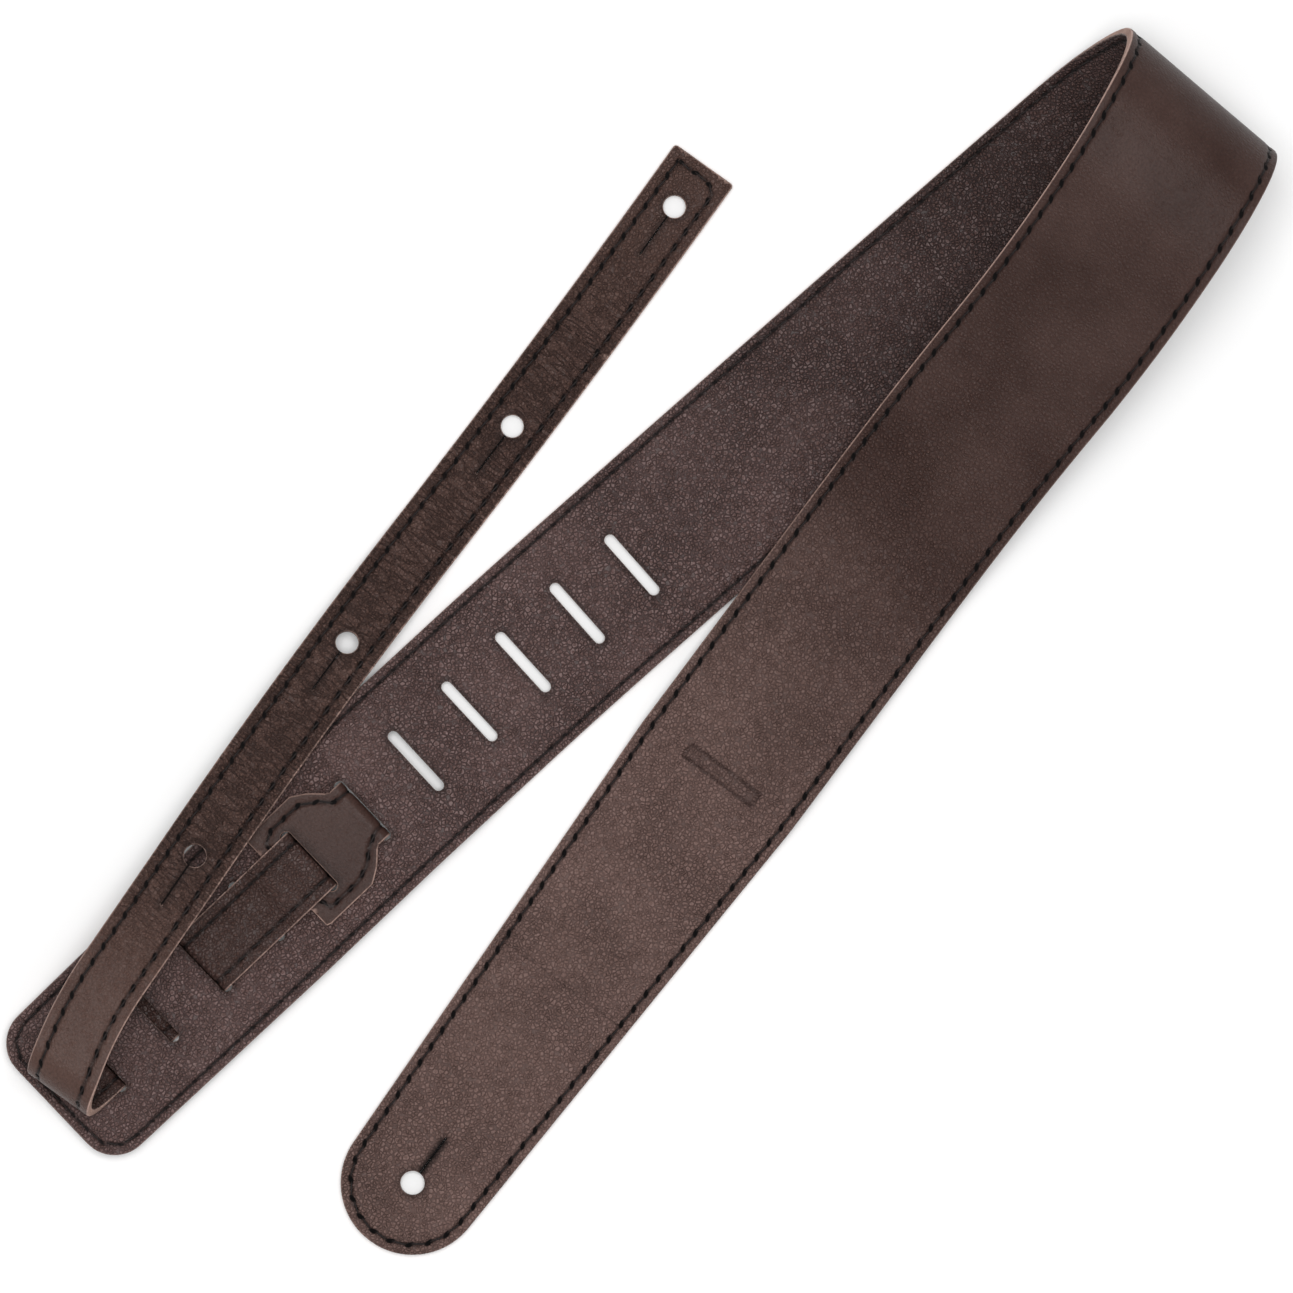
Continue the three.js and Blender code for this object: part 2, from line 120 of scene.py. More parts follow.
def advance(here, run, bend, turn, crease):
    """The station one step further: bend is towards the lining, turn is in the strap's plane."""
    axis = here["side"] if crease is None else crease
    middle_up = turned(here["up"], axis, bend / 2)
    middle = turned(turned(here["along"], axis, bend / 2), middle_up, turn / 2)
    slide = axis * (middle @ axis)
    square = middle - slide
    run = run / np.linalg.norm(square)
    chord = 1 if abs(bend) < 1e-9 else math.sin(bend / 2) / (bend / 2)
    up = turned(here["up"], axis, bend)
    along = turned(turned(here["along"], axis, bend), up, turn)
    side = turned(turned(here["side"], axis, bend), up, turn)
    skew = 0.0 if crease is None else (axis @ along) / (axis @ side)
    point = here["point"] + square * run * chord + slide * run
    return {"s": here["s"] + run, "point": point, "along": along, "side": side, "up": up, "skew": skew}


def crease_for(leg, here):
    """The level line that a leg with a yaw is folded along, on the strap's own side."""
    if "yaw" not in leg:
        return None
    yaw = math.radians(leg["yaw"])
    crease = np.array([-math.sin(yaw), math.cos(yaw), 0.0])
    return -crease if crease @ here["side"] < 0 else crease


CAD_FACET = 10  # degrees of bend in one step of the CAD's route
FINE_RUN = 3  # the longest finer step here
FINE_BEND = 4  # finer steps in one bending step


class Strap:
    """A walked route. place() puts flat places and heights on it, and ends holds each leg's end."""

    def __init__(self, start, legs, sizes):
        self.sizes = sizes
        self.ends = []
        here = start
        route = [start]
        for leg in legs:
            bend, turn = math.radians(leg.get("bend", 0)), math.radians(leg.get("turn", 0))
            run = leg.get("run", leg.get("radius", 0) * abs(bend))
            crease = crease_for(leg, here)
            steps = max(1, math.ceil(abs(leg.get("bend", 0)) / CAD_FACET))
            finer = max(1, math.ceil(run / steps / FINE_RUN), FINE_BEND if bend else 1)
            count = steps * finer
            for _ in range(steps):
                entry = here["skew"]
                for i in range(finer):
                    here = advance(here, run / count, bend / count, turn / count, crease)
                    here["skew"] = entry + (here["skew"] - entry) * (i + 1) / finer
                    route.append(here)
            self.ends.append(here["s"])
        self.length = self.ends[-1]
        self.s = np.array([r["s"] for r in route])
        self.points = np.array([r["point"] for r in route])
        self.across = np.array([r["side"] + r["skew"] * r["along"] for r in route])
        self.up = np.array([r["up"] for r in route])

    def place(self, s, v, height):
        """Points at flat places, a height above the middle surface on the outer leather's side."""
        s = np.asarray(s, float)
        point, across, up = [np.stack([np.interp(s, self.s, column) for column in values.T], axis=-1)
                             for values in (self.points, self.across, self.up)]
        v, height = np.asarray(v, float)[..., None], np.asarray(height, float)[..., None]
        return point + across * v + up * height

    def move(self, offset):
        self.points += [offset[0], offset[1], 0.0]


def ease(height, radius, sign):
    """Two legs that step the strap to another level. sign is 1 towards the lining."""
    bend = sign * math.degrees(math.acos(1 - height / (2 * radius)))
    return [{"radius": radius, "bend": bend}, {"radius": radius, "bend": -bend}]


def ease_run(height, radius):
    return 2 * radius * math.sin(math.acos(1 - height / (2 * radius)))


def arc_rise(radius, start, end):
    return radius * (math.cos(math.radians(start)) - math.cos(math.radians(end)))


band_low = BAND["thick"] / 2
band_high = TAIL["thick"] + GAP + band_low
band_crossing = BAND["thick"] + GAP + band_low
fold_bend = 2 * FOLD["easy_bend"] + FOLD["tight_bend"]
foot_bend = fold_bend - 180
fold_height = (arc_rise(FOLD["easy"], 0, FOLD["easy_bend"])
               + arc_rise(FOLD["tight"], FOLD["easy_bend"], FOLD["easy_bend"] + FOLD["tight_bend"])
               + arc_rise(FOLD["easy"], FOLD["easy_bend"] + FOLD["tight_bend"], fold_bend)
               - arc_rise(FOLD["foot"], 0, foot_bend))
band_slope = (fold_height - band_crossing + band_low) / math.sin(math.radians(foot_bend))

BAND_BACK = [
    {"run": 149.2},
    {"run": 14, "turn": 0.8},
    *ease(band_high - band_low, EASE, -1),
    {"run": 50, "turn": 1.3},
    {"run": 100, "turn": 0.2},
    {"run": 99, "turn": 0.3},
    {"run": 30, "turn": 0.1, "yaw": FOLD["yaw"]},
]
BAND_FOLD = [
    {"radius": FOLD["easy"], "bend": FOLD["easy_bend"], "turn": 5.5, "yaw": FOLD["yaw"]},
    {"radius": FOLD["tight"], "bend": FOLD["tight_bend"], "turn": -3.4, "yaw": FOLD["yaw"]},
    {"radius": FOLD["easy"], "bend": FOLD["easy_bend"], "turn": -4, "yaw": FOLD["yaw"]},
]
BAND_FRONT = [
    {"run": 0.5 * band_slope, "turn": -5.7, "yaw": FOLD["yaw"]},
    {"run": 0.5 * band_slope, "turn": 2.5, "yaw": FOLD["yaw"]},
    {"radius": FOLD["foot"], "bend": -foot_bend, "yaw": FOLD["yaw"]},
    {"run": 66},
    *ease(band_crossing - band_low, EASE, 1),
    {"run": 174.4},
]
band = Strap(first_station((-SLOT["from_end"], -3.3, band_high), math.radians(SLOTTED_END["yaw"]), -1),
             [*BAND_BACK, *BAND_FOLD, *BAND_FRONT], BAND)
hole_at = band.length - TAPER["end_half"]
easy_to = band.ends[len(BAND_BACK)]
tight_to = band.ends[len(BAND_BACK) + 1]
hinge_step = (HINGE_BEND["band"] - FOLD["easy_bend"]) / FOLD["tight_bend"] * (tight_to - easy_to)

tail_low = TAIL["thick"] / 2
tail_over = TAIL["thick"] + BAND["thick"] + 2 * GAP + tail_low
tail_over_head = tail_over + TAIL["thick"] + GAP
tail_slope_bend = TAIL_FOLD["bend"] - 180
tail_drop = (tail_over + 2 * TAIL_FOLD["radius"] - tail_low
             - arc_rise(TAIL_FOLD["radius"] + TAIL_FOLD["foot"], 0, tail_slope_bend))
tail_slope = tail_drop / math.sin(math.radians(tail_slope_bend))


def dive(sign, depth):
    """Legs that go straight down or up through a slot."""
    first, last = [{"radius": DIVE, "bend": 90 * way} for way in (sign, -sign)]
    return [first, {"run": depth - 2 * DIVE}, last]


def level_run(slots):
    return slots * SLOT["pitch"] - 2 * DIVE


over_head_run = HEAD["length"] - SLOT["pitch"]
step_up = ease_run(TAIL["thick"] + GAP, STEP_UP)
TAIL_FREE = [
    {"run": 146, "turn": -2.1},
    {"radius": TAIL_FOLD["foot"], "bend": -tail_slope_bend, "yaw": TAIL_FOLD["yaw"]},
    {"run": 0.6 * tail_slope, "turn": 3.4, "yaw": TAIL_FOLD["yaw"]},
    {"run": 0.25 * tail_slope, "turn": -0.2, "yaw": TAIL_FOLD["yaw"]},
    {"run": 0.15 * tail_slope, "turn": 13.6, "yaw": TAIL_FOLD["yaw"]},
]
TAIL_BEND = [
    {"radius": TAIL_FOLD["radius"], "bend": TAIL_FOLD["bend"], "turn": -4.4, "yaw": TAIL_FOLD["yaw"]},
]
TAIL_LOCK = [
    {"run": 2.6},
    *dive(-1, tail_over - tail_low),
    {"run": level_run(2)},
    *dive(1, tail_over - tail_low),
    {"run": level_run(2) - step_up - over_head_run},
    *ease(TAIL["thick"] + GAP, STEP_UP, 1),
    {"run": over_head_run},
    *dive(-1, tail_over_head - tail_low),
    {"run": level_run(1)},
    {"radius": DIVE, "bend": 90},
    {"run": BAND["thick"]},
    {"radius": DIVE, "bend": 90},
    {"run": HEAD["length"] - DIVE},
]
tail_turn = sum(leg.get("turn", 0) for leg in [*TAIL_FREE, *TAIL_BEND])
tip_yaw = 180 + 2 * TAIL_FOLD["yaw"] - tail_turn - SLOTTED_END["yaw"]
tail = Strap(first_station((0, 0, tail_low), math.radians(tip_yaw), 1),
             [*TAIL_FREE, *TAIL_BEND, *TAIL_LOCK], TAIL)
bend_from = tail.ends[len(TAIL_FREE) - 1]
bend_to = tail.ends[len(TAIL_FREE)]
first_dive = tail.ends[len(TAIL_FREE) + 2]
tail_hinge_step = HINGE_BEND["tail"] / TAIL_FOLD["bend"] * (bend_to - bend_from)
head_end = tail.length
head_from = head_end - HEAD["length"]
head_slot = head_from + SLOT["pitch"]
end_slot = band.place(SLOT["from_end"], 0, 0)
dive_middle = tail.place(first_dive + 0.5 * (tail_over - tail_low) - DIVE, 0, 0)
tail.move(end_slot - dive_middle)

# The row's origin is under the middle of the strap: the CAD's first hinge says how far both straps move.
BAND_HINGES = [easy_to + hinge_step, tight_to - hinge_step, band.length - FLEX["tab"]]
TAIL_HINGES = [FLEX["tip"], bend_from + tail_hinge_step, bend_to - tail_hinge_step]
first_hinge = next(joint["pos_m"] for joint in frame["joints"] if joint["name"] == "band_fold_back")
offset = np.array(first_hinge) / MM - band.place(BAND_HINGES[0], 0, BAND["thick"] / 2)
for strap in (band, tail):
    strap.move(offset)

# ---- Outlines ----


def band_half(s):
    """Half the band's width at distances along it."""
    s = np.asarray(s, float)
    full = BAND["half"] - SLOTTED_END["narrowing"] * np.maximum(0, 1 - s / (4 * SLOT["pitch"]))
    taper = np.maximum(0, 1 - (hole_at - s) / TAPER["length"])
    corner = SLOTTED_END["corner"]
    cut = np.clip(corner - s, 0, corner)
    straight = full - (BAND["half"] - TAPER["end_half"]) * taper - corner + np.sqrt(corner**2 - cut**2)
    round_end = np.sqrt(np.maximum(0, TAPER["end_half"] ** 2 - (s - hole_at) ** 2))
    return np.where(s > hole_at, round_end, straight)


def tail_half(s):
    """Half the tail's width at distances along it."""
    s = np.asarray(s, float)
    past = s - head_from
    neck = np.interp(past, [HEAD["neck"], HEAD["shoulder_at"]], [TAIL["half"], HEAD["shoulder"]])
    flare = np.interp(past, [HEAD["shoulder_at"], HEAD["full_at"]], [0, HEAD["half"] - HEAD["shoulder"]])
    cuts = [np.clip(TAIL_CORNER - to_end, 0, TAIL_CORNER) for to_end in (s, head_end - s)]
    tip_corner, head_corner = [np.sqrt(TAIL_CORNER**2 - cut**2) for cut in cuts]
    return neck + flare - 2 * TAIL_CORNER + tip_corner + head_corner


def arc(s, v, radius, start, end, count=24):
    """Points on a flat arc between two angles."""
    angle = np.radians(np.linspace(start, end, count))
    return np.stack([s + radius * np.cos(angle), v + radius * np.sin(angle)], axis=1)


def slot_outline(s):
    """A long slot across the strap, with round ends."""
    radius = SLOT["width"] / 2
    reach = SLOT["length"] / 2 - radius
    left, right = arc(s, reach, radius, 7.5, 172.5, 12), arc(s, -reach, radius, 187.5, 352.5, 12)
    steps = np.linspace(0, 1, 14)[1:-1, None]
    sides = [a[-1] + (b[0] - a[-1]) * steps for a, b in ((left, right), (right, left))]
    return np.concatenate([left, sides[0], right, sides[1]])


def keyhole_outline(s, radius, slit, way):
    """A round hole with a slit on one side (way, 1 or -1) that ends in a pin hole."""
    half = SLIT_WIDTH / 2
    mouth = math.degrees(math.asin(half / radius))
    pin_mouth = 180 - math.degrees(0.5)
    along = np.linspace(radius + 0.8, radius + slit - 1, 16)
    shape = np.concatenate([
        arc(0, 0, radius, mouth, 360 - mouth, 41),
        np.stack([along, np.full(16, -half)], axis=1),
        arc(radius + slit, 0, PIN_HOLE, -pin_mouth, pin_mouth, 11),
        np.stack([along[::-1], np.full(16, half)], axis=1),
    ])
    return shape * way + [s, 0]


BAND_HOLES = [slot_outline(SLOT["from_end"] + i * SLOT["pitch"]) for i in range(SLOT["count"])]
BAND_HOLES.append(keyhole_outline(hole_at, BUTTON_HOLE["radius"], BUTTON_HOLE["slit"], -1))
TAIL_HOLES = [keyhole_outline(s, TAIL_HOLE["radius"], TAIL_HOLE["slit"], 1) for s in TAIL_HOLE["at"]]
TAIL_HOLES.append(slot_outline(head_slot))

# Stretches (from, to, step) where a ply's rows stand closer together than elsewhere.
DIVES = [(tail.ends[len(TAIL_FREE) + i], tail.ends[len(TAIL_FREE) + 1 + i], 0.4)
         for i, leg in enumerate(TAIL_LOCK) if leg.get("radius", EASE) <= STEP_UP]
TAIL_FINE = [(0, 1.3, 0.25), (head_end - 1.5, head_end, 0.25), (bend_from, bend_to, 0.8), *DIVES]
BAND_FINE = [(0, 3, 0.3), (3, 13, 1), (hole_at + 10, hole_at + 20, 0.8), (hole_at + 20, band.length, 0.25)]


def rows(start, end, strap, fine):
    """Distances along a strap, closer together where it bends tightly or its outline curves."""
    marks = [start, end]
    s = start
    while s < end:
        s += min([strap.sizes["stitch"] / 4, *(step for low, high, step in fine if low - step <= s < high)])
        marks.append(min(s, end))
    marks = np.unique(np.round(marks, 4))
    return marks[np.concatenate([[True], np.diff(marks) > 0.1])]


CHUNK = 2000  # points measured at a time, to save memory


def nearest(points, line, closed):
    """Each point's distance from a line, the arc length at the nearest place, and the signed side."""
    ends = np.roll(line, -1, axis=0) if closed else line[1:]
    starts = line if closed else line[:-1]
    way = ends - starts
    size = np.maximum(np.linalg.norm(way, axis=1), 1e-9)
    before = np.concatenate([[0], np.cumsum(size)[:-1]])
    unit = way / size[:, None]
    distance, place, side = [np.empty(len(points)) for _ in range(3)]
    for first in range(0, len(points), CHUNK):
        chunk = slice(first, first + CHUNK)
        rel = points[chunk, None, :] - starts[None]
        t = np.clip((rel * unit[None]).sum(axis=2), 0, size[None])
        off = rel - unit[None] * t[..., None]
        far = np.linalg.norm(off, axis=2)
        best = far.argmin(axis=1)
        pick = np.arange(len(best))
        distance[chunk] = far[pick, best]
        place[chunk] = before[best] + t[pick, best]
        side[chunk] = unit[best, 0] * rel[pick, best, 1] - unit[best, 1] * rel[pick, best, 0]
    return distance, place, side


def smooth(low, high, x):
    """0 before low and 1 after high, which may be the smaller one."""
    t = np.clip((x - low) / (high - low), 0, 1)
    return t * t * (3 - 2 * t)


# ---- Seams ----


def offset_line(line, distance):
    """The line moved to its left."""
    way = np.gradient(line, axis=0)
    way /= np.maximum(np.linalg.norm(way, axis=1), 1e-9)[:, None]
    return line + np.stack([-way[:, 1], way[:, 0]], axis=1) * distance


def evenly(line, pitch):
    """The line again at even steps, as near to pitch as divides its length."""
    size = np.concatenate([[0], np.cumsum(np.linalg.norm(np.diff(line, axis=0), axis=1))])
    count = max(1, round(size[-1] / pitch))
    at = np.linspace(0, size[-1], count + 1)
    return np.stack([np.interp(at, size, line[:, k]) for k in (0, 1)], axis=1)


def side_line(half, inset, start, end, side, extra=()):
    """A line along one side of a strap, with extra points where the outline has corners."""
    s = np.unique(np.concatenate([np.linspace(start, end, max(2, int((end - start) / 2))), extra]))
    s = s[(s >= start) & (s <= end)]
    return np.stack([s, side * (half(s) - inset)], axis=1)


def band_seam():
    """The closed seam line round the band, on its right side first."""
    inset, corner = BAND["inset"], SLOTTED_END["corner"]
    v = float(band_half(corner)) - corner
    right = side_line(band_half, inset, corner, hole_at, -1)
    left = side_line(band_half, inset, corner, hole_at, 1)
    round_end = arc(hole_at, 0, TAPER["end_half"] - inset, 270, 450, 40)
    corners = [arc(corner, v, corner - inset, 90, 180), arc(corner, -v, corner - inset, 180, 270)]
    return np.concatenate([right, round_end, left[::-1], *corners, right[:1]])


def tail_seam():
    """The closed seam line round the tail and its head."""
    inset = TAIL["inset"]
    flare = [head_from + HEAD[key] for key in ("neck", "shoulder_at", "full_at")]
    right = side_line(tail_half, inset, inset, head_end - inset, -1, flare)
    left = side_line(tail_half, inset, inset, head_end - inset, 1, flare)
    return np.concatenate([right, left[::-1], right[:1]])


SEAMS = {"band": evenly(band_seam(), BAND["stitch"]), "tail": evenly(tail_seam(), TAIL["stitch"])}

# ---- Leather ----


def ripple(s, v, seed):
    """A soft unevenness of the surface, from -1 to 1."""
    rng = np.random.default_rng(seed)
    total = np.zeros_like(s)
    for _ in range(7):
        wave = rng.uniform(25, 110)
        angle = rng.uniform(0, math.pi)
        phase = rng.uniform(0, 6.28)
        total += np.sin(2 * math.pi * (s * math.cos(angle) + v * math.sin(angle)) / wave + phase)
    return total / 7


CAP_STEP = 2.5  # between points across a piece's end
BESIDE_EDGE = (0.14, 0.3, 0.55, 1.1)  # lines of points beside an edge
BESIDE_SEAM = (-1.5, -0.8, -0.4, 0, 0.4, 0.8, 1.5)  # and beside a seam
BESIDE_HOLE = (0.15, 0.34)
COLUMN_STEP = 3.2  # between points across the middle


def ply_outline(s_rows, start, end, half):
    """A piece's closed outline: up its right side, across its end, and back."""
    right = np.stack([s_rows, -half(s_rows)], axis=1)
    left = np.stack([s_rows, half(s_rows)], axis=1)[::-1]
    caps = []
    for s, corner in ((start, right[0]), (end, right[-1])):
        width = abs(corner[1])
        count = max(2, int(2 * width / CAP_STEP))
        caps.append(np.stack([np.full(count - 1, s), np.linspace(-width, width, count + 1)[1:-1]], axis=1))
    outline = np.concatenate([right, caps[1], left, caps[0][::-1]])
    return outline[np.linalg.norm(outline - np.roll(outline, 1, axis=0), axis=1) > 0.02]


def inner_points(strap, s_rows, start, end, half, ends, mark):
    """Points inside a piece: beside its edges and seam, in a fine grid at the mark, and in even rows."""
    inset = strap.sizes["inset"]
    offsets = [*BESIDE_EDGE, *(inset + step for step in BESIDE_SEAM)]
    points = []
    for side in (-1, 1):
        edge = np.stack([s_rows, side * half(s_rows)], axis=1)
        points += [offset_line(edge, -side * distance) for distance in offsets]
    for at_end, s in zip(ends, (start, end)):
        if at_end:
            width = float(half(s)) - 0.5
            v = np.linspace(-width, width, max(4, int(width)))
            way = 1 if s == start else -1
            points += [np.stack([np.full(len(v), s + way * d), v], axis=1) for d in offsets]
    if mark:
        along, across = MARK["width"] / 2 + 1, MARK["length"] / 2 + 1
        grid = np.meshgrid(np.arange(-along, along, 0.45), np.arange(-across, across, 0.6))
        points.append(np.stack([grid[0].ravel() + MARK["s"], grid[1].ravel() + MARK["v"]], axis=1))
    inner = inset + 3
    columns = np.linspace(-1, 1, 2 * max(2, round((strap.sizes["half"] - inner) / COLUMN_STEP)) + 1)
    for s in s_rows:
        width = float(half(s)) - inner
        if width > 0:
            points.append(np.stack([np.full(len(columns), s), columns * width], axis=1))
    cloud = np.concatenate(points)
    return cloud[(cloud[:, 0] > start + 1e-3) & (cloud[:, 0] < end - 1e-3)]


def near_hole(points, hole, margin):
    """Which points lie in the box round a hole."""
    return (np.abs(points - hole.mean(axis=0)) < np.ptp(hole, axis=0) / 2 + margin).all(axis=1)


def flat_ply(strap, start, end, half, holes, ends, fine, mark):
    """The cut of one piece of leather: its flat points and triangles, and the holes that it has."""
    s_rows = rows(start, end, strap, fine)
    outline = ply_outline(s_rows, start, end, half)
    cloud = inner_points(strap, s_rows, start, end, half, ends, mark)
    held = [h for h in holes if start < h[:, 0].min() and h[:, 0].max() < end]
    distance, _, _ = nearest(cloud, outline, True)
    inside = (np.abs(cloud[:, 1]) < half(cloud[:, 0])) & (distance > 0.1)
    for hole in held:
        box = near_hole(cloud, hole, 1.2) & inside
        near, _, _ = nearest(cloud[box], hole, True)
        inside[np.flatnonzero(box)[near < 0.5]] = False
        for reach in BESIDE_HOLE:
            ring = offset_line(np.concatenate([hole[-1:], hole, hole[:1]]), -reach)[1:-1]
            cloud = np.concatenate([cloud, ring])
            inside = np.concatenate([inside, np.ones(len(ring), bool)])
    cloud = cloud[inside]
    _, first = np.unique(np.round(cloud / 0.09), axis=0, return_index=True)
    cloud = cloud[np.sort(first)]
    edges = []
    at = 0
    for loop in (outline, *held):
        count = len(loop)
        edges += [(at + i, at + (i + 1) % count) for i in range(count)]
        at += count
    made = delaunay_2d_cdt([Vector(p) for p in np.concatenate([outline, *held, cloud])], edges, [], 0, 1e-5)
    points = np.array([p[:] for p in made[0]])
    triangles = np.array(made[2], dtype=int)
    middle = points[triangles].mean(axis=1)
    good = np.abs(middle[:, 1]) < half(middle[:, 0]) + 0.01
    for hole in held:
        chosen = np.flatnonzero(near_hole(middle, hole, 0.5))
        good[chosen[in_loop(middle[chosen], hole)]] = False
    triangles = triangles[good]
    a, b, c = (points[triangles[:, k]] for k in range(3))
    area = (b[:, 0] - a[:, 0]) * (c[:, 1] - a[:, 1]) - (b[:, 1] - a[:, 1]) * (c[:, 0] - a[:, 0])
    triangles[area < 0] = triangles[area < 0][:, ::-1]
    return points, triangles, held


def in_loop(points, loop):
    """Which points lie inside a closed loop."""
    x, y = points[:, 0:1], points[:, 1:2]
    a, b = loop, np.roll(loop, -1, axis=0)
    crosses = (a[None, :, 1] > y) != (b[None, :, 1] > y)
    rise = np.where(np.abs(b[:, 1] - a[:, 1]) < 1e-12, 1e-12, b[:, 1] - a[:, 1])
    meet = a[None, :, 0] + (y - a[None, :, 1]) * (b[:, 0] - a[:, 0])[None] / rise[None]
    return (crosses & (x < meet)).sum(axis=1) % 2 == 1


def rim_edges(triangles):
    """The directed edges that only one triangle has."""
    edges = np.concatenate([triangles[:, [0, 1]], triangles[:, [1, 2]], triangles[:, [2, 0]]])
    keys = {(a, b) for a, b in edges.tolist()}
    return [(a, b) for a, b in edges.tolist() if (b, a) not in keys]


def edge_distance(points, strap, half, start, end, ends):
    """Each point's distance from the leather's own edge."""
    s, v = points[:, 0], points[:, 1]
    marks = np.linspace(start, end, 400)
    slope = np.hypot(1, np.gradient(half(marks), marks))
    distance = (half(s) - np.abs(v)) / np.interp(s, marks, slope)
    for at_end, place in zip(ends, (start, end)):
        if at_end:
            distance = np.minimum(distance, end_distance(points, strap, half, place))
    return np.maximum(distance, 0)


def hole_distance(points, holes):
    """Each point's distance from the nearest hole, where one is near."""
    distance = np.full(len(points), FAR)
    for hole in holes:
        box = near_hole(points, hole, 2.5)
        near, _, _ = nearest(points[box], hole, True)
        distance[box] = np.minimum(distance[box], near)
    return distance


# How much of the pale core an edge shows on the strap's one side (1 or -1), and on the other.
PALE_EDGE = {"band_outer": (-1, 1, 0.25), "band_lining": (-1, 0.3, 0.3), "tail_outer": (1, 1, 0.65),
             "tail_lining": (1, 1, 1)}


def pale_edge(points, kind, slit):
    """How pale the edge is beside each point. It is darker on a slit and round the band's end."""
    side, most, least = PALE_EDGE[kind]
    pale = np.where(points[:, 1] * side > 0, most, least) * (1 - slit)
    return pale * (1 - 0.6 * smooth(740, 800, points[:, 0])) if kind == "band_outer" else pale


def leather(name, key, strap, kind, start, end, half, holes, ends, fine, low, high, out, seed, mark):
    """One closed piece of leather. Its face is at the height high on the out side of the strap."""
    points, triangles, held = flat_ply(strap, start, end, half, holes, ends, fine, mark)
    s, v = points[:, 0], points[:, 1]
    rim = edge_distance(points, strap, half, start, end, ends)
    hole_rim = hole_distance(points, held)
    line = SEAMS[key]
    seam, along, side = nearest(points, line, False)
    pitch = np.linalg.norm(line[1] - line[0])
    count = along / pitch
    valley = VALLEY["depth"] * np.exp(-((seam / VALLEY["width"]) ** 2))
    dent_along = (np.abs(count - np.round(count))) * pitch
    dent = DENT["depth"] * np.exp(-((np.hypot(dent_along, seam) / DENT["size"]) ** 2))
    height = np.zeros(len(points))
    for distance, radius in ((rim, ROUND_EDGE), (hole_rim, ROUND_CUT)):
        inside = np.clip(radius - distance, 0, radius)
        height -= radius - np.sqrt(radius**2 - inside**2)
    height -= valley + dent
    height -= HOLE_SINK["depth"] * (1 - smooth(0, HOLE_SINK["reach"], hole_rim))
    height += RIPPLE * ripple(s, v, seed)
    if mark:
        height -= pressed_mark(points)
    top = strap.place(s, v, out * (high + height))
    bottom = strap.place(s, v, out * low)
    n = len(points)
    up, down = (triangles, triangles[:, ::-1]) if out > 0 else (triangles[:, ::-1], triangles)
    walls = []
    for a, b in rim_edges(triangles):
        walls += [(a, b + n, b), (a, a + n, b + n)] if out > 0 else [(a, b, b + n), (a, b + n, a + n)]
    slit = slit_nearness(points, key)
    raw = pale_edge(points, kind, slit) * (1 - smooth(0.1, 0.55, np.minimum(rim, hole_rim * 2)))
    pressed = pressed_mark(points) / MARK["depth"] if mark else 0
    values = {
        "stitch": np.tile(count, 2),
        "seam": np.tile(seam * np.sign(side), 2),
        "raw": np.concatenate([raw, np.ones(n)]),
        # Painted shade round holes and in the pressed mark, carried to the shaders as cut.
        "cut": np.tile(np.maximum(1 - smooth(0.2, 2.5, hole_rim), pressed), 2),
        # Slit nearness, which also paints the slits near-black as shade.
        "slit": np.tile(slit, 2),
    }
    below = np.stack([np.zeros(n), np.sign(v) * (high - low)], axis=1)
    uv = np.concatenate([points, points + below]) * MM
    vertices = np.concatenate([top, bottom]) * MM
    faces = np.concatenate([up, down + n, np.array(walls)])
    return make_mesh(name, vertices, faces, values, uv, kind, len(triangles))


SLITS = {
    "band": {"from": [hole_at], "way": -1, "reach": 0.62, "past": BUTTON_HOLE["radius"],
             "length": BUTTON_HOLE["slit"]},
    "tail": {"from": TAIL_HOLE["at"], "way": 1, "reach": 0.42, "past": TAIL_HOLE["radius"],
             "length": TAIL_HOLE["slit"]},
}


def slit_nearness(points, key):
    """1 on a button hole's slit, falling to 0 beside it."""
    slit = SLITS[key]
    near = np.zeros(len(points))
    for hole in slit["from"]:
        along = (points[:, 0] - hole) * slit["way"] - slit["past"]
        past = np.maximum(np.maximum(-along, along - slit["length"]), 0)
        off = np.hypot(past, points[:, 1])
        near = np.maximum(near, 1 - smooth(0.5 * slit["reach"], slit["reach"], off))
    return near


def end_distance(points, strap, half, end):
    """The distance to the strap's own end, with its rounded corners."""
    s, v = points[:, 0], np.abs(points[:, 1])
    if strap is tail:
        return np.abs(end - s)
    if end > hole_at:
        return np.where(s > hole_at, TAPER["end_half"] - np.hypot(s - hole_at, v), FAR)
    corner = SLOTTED_END["corner"]
    out_s, out_v = corner - s, v - (float(half(corner)) - corner)
    straight = np.where(out_s > 0, s, FAR)
    return np.where((out_s > 0) & (out_v > 0), corner - np.hypot(out_s, out_v), straight)


def linked(name, data):
    """A new object in the scene."""
    made = bpy.data.objects.new(name, data)
    bpy.context.collection.objects.link(made)
    return made


def make_mesh(name, vertices, faces, values, uv, kind, edge_from):
    """A mesh with its values on points. Faces from edge_from on are cut sides, shaded flat."""
    mesh = bpy.data.meshes.new(name)
    mesh.from_pydata(vertices.tolist(), [], faces.tolist())
    for key, numbers in values.items():
        mesh.attributes.new(key, "FLOAT", "POINT").data.foreach_set("value", numbers.astype(np.float32))
    layer = mesh.uv_layers.new(name="flat")
    corner = np.empty(len(mesh.loops), dtype=np.int32)
    mesh.loops.foreach_get("vertex_index", corner)
    layer.data.foreach_set("uv", uv[corner].astype(np.float32).ravel())
    for material in MATERIALS[kind]:
        mesh.materials.append(material)
    cut = np.arange(len(faces)) >= edge_from
    mesh.polygons.foreach_set("material_index", cut.astype(np.int32))
    mesh.polygons.foreach_set("use_smooth", ~cut)
    mesh.update()
    return linked(name, mesh)


